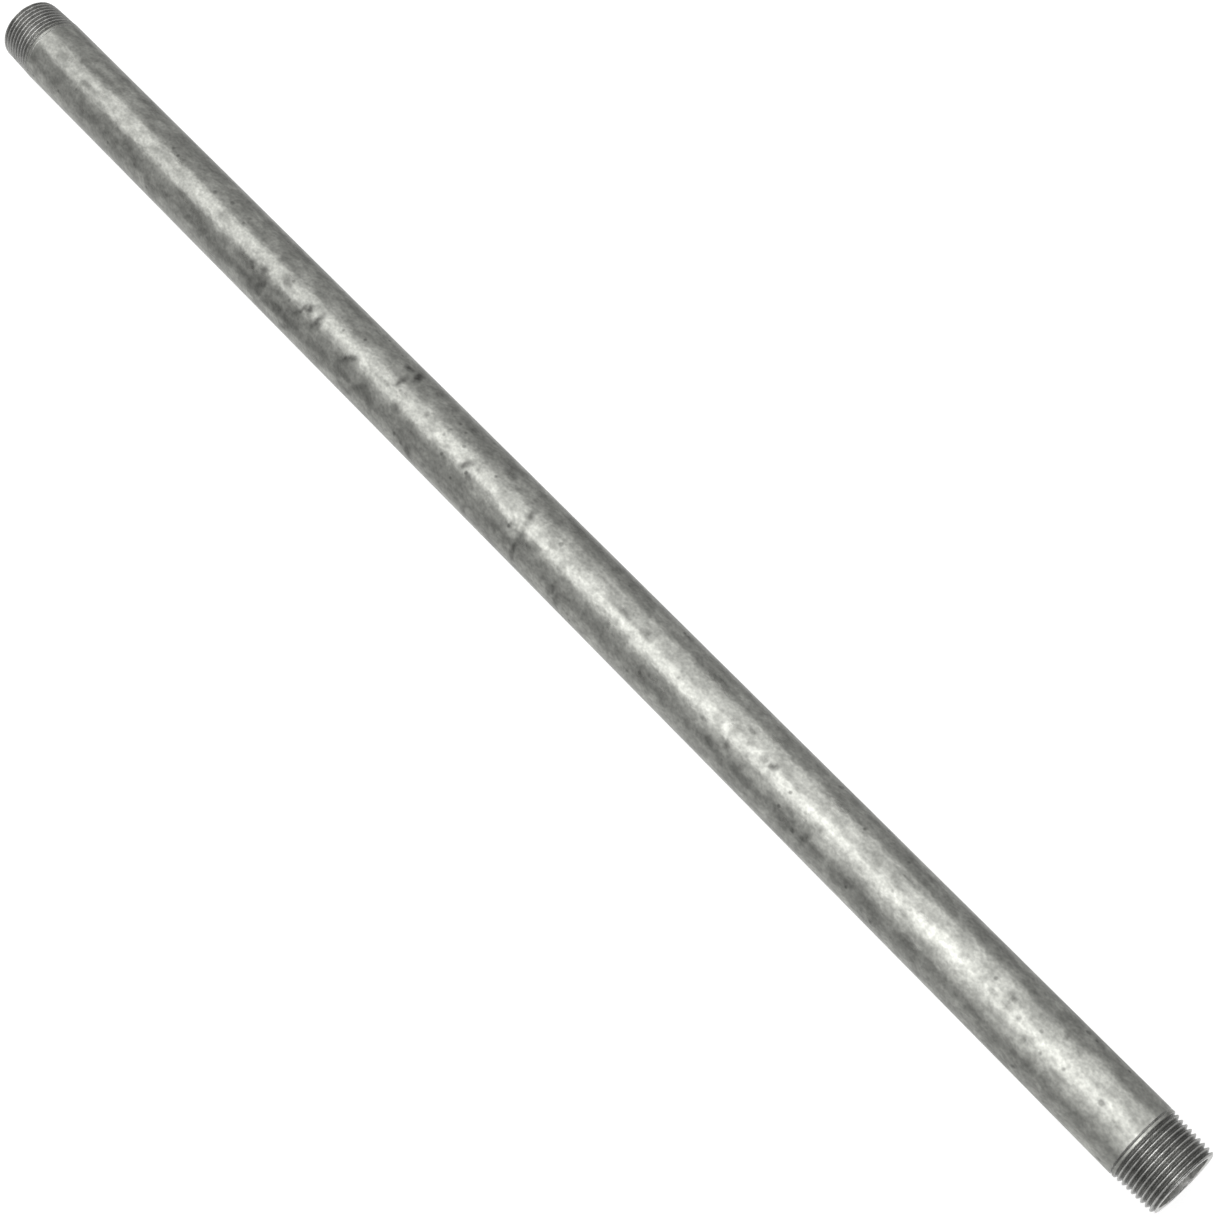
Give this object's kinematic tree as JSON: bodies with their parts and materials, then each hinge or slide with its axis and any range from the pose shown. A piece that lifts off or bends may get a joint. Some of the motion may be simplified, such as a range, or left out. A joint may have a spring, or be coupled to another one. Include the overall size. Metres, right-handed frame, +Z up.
{
  "type": "threaded pipe nipple",
  "caption": "Long straight galvanised steel pipe nipple with a right-hand taper pipe thread cut on each end and an open bore through it.",
  "frame": {"origin": "on the pipe's axis, halfway between its two end faces", "axes": "+X along the pipe's axis, out of end B; +Z up with the pipe lying flat; end A is towards -X"},
  "size_m": [0.6096, 0.0268, 0.0268],
  "materials": {
    "bare_steel": "freshly cut thread, dark grey, lightly oiled",
    "galvanised_zinc": "hot-dip zinc, mottled and satin"
  },
  "bodies": {
    "root": {"steel_pipe": "bare_steel", "outer_zinc_coat": "galvanised_zinc", "inner_zinc_coat": "galvanised_zinc"}
  },
  "joints": []
}
